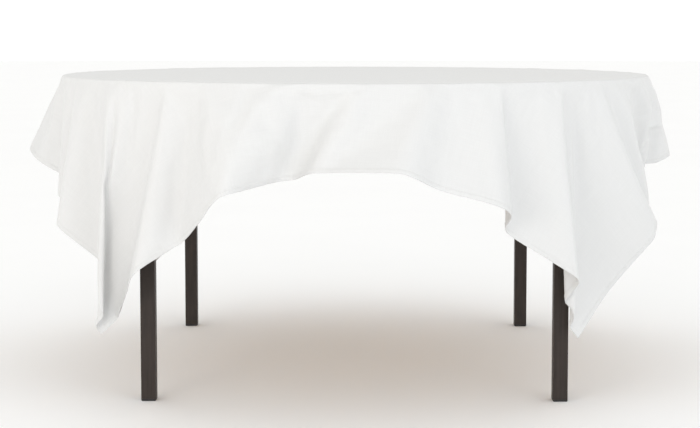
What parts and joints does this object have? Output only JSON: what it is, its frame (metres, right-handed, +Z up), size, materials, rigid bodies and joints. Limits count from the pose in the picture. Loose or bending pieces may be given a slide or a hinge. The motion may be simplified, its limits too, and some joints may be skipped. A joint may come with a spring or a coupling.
{
  "type": "tablecloth on a table",
  "caption": "Square white cloth draped over a round dining table, its corners hanging between straight square legs, with a panel top, edge band, apron frame and plastic glides.",
  "frame": {"origin": "on the floor under the middle of the table", "axes": "+Z up, -Y towards the front of the table, +X to its right"},
  "size_m": [1.6964, 1.669, 0.7635],
  "materials": {
    "white_polyester": "matte plain weave, hemmed",
    "plywood": "sealed birch plywood",
    "band_brown": "satin moulded",
    "bronze_paint": "satin powder coat",
    "black_plastic": "moulded",
    "zinc_steel": "zinc plated"
  },
  "bodies": {
    "table": {"tabletop_panel": "plywood", "tabletop_edge_band": "band_brown", "apron_front": "bronze_paint", "apron_right": "bronze_paint", "apron_back": "bronze_paint", "apron_left": "bronze_paint", "leg_front_left": "bronze_paint", "glide_front_left": "black_plastic", "gusset_front_left": "bronze_paint", "top_screw_front_left_1": "zinc_steel", "top_screw_front_left_2": "zinc_steel", "top_screw_front_left_3": "zinc_steel", "leg_front_right": "bronze_paint", "glide_front_right": "black_plastic", "gusset_front_right": "bronze_paint", "top_screw_front_right_1": "zinc_steel", "top_screw_front_right_2": "zinc_steel", "top_screw_front_right_3": "zinc_steel", "leg_back_right": "bronze_paint", "glide_back_right": "black_plastic", "gusset_back_right": "bronze_paint", "top_screw_back_right_1": "zinc_steel", "top_screw_back_right_2": "zinc_steel", "top_screw_back_right_3": "zinc_steel", "leg_back_left": "bronze_paint", "glide_back_left": "black_plastic", "gusset_back_left": "bronze_paint", "top_screw_back_left_1": "zinc_steel", "top_screw_back_left_2": "zinc_steel", "top_screw_back_left_3": "zinc_steel"},
    "tablecloth": {"tablecloth": "white_polyester"}
  },
  "joints": [
    {"name": "cloth_lift", "type": "slide", "parent": "table", "child": "tablecloth", "axis": [0, 0, 1], "range_m": [0, 0.65]}
  ]
}
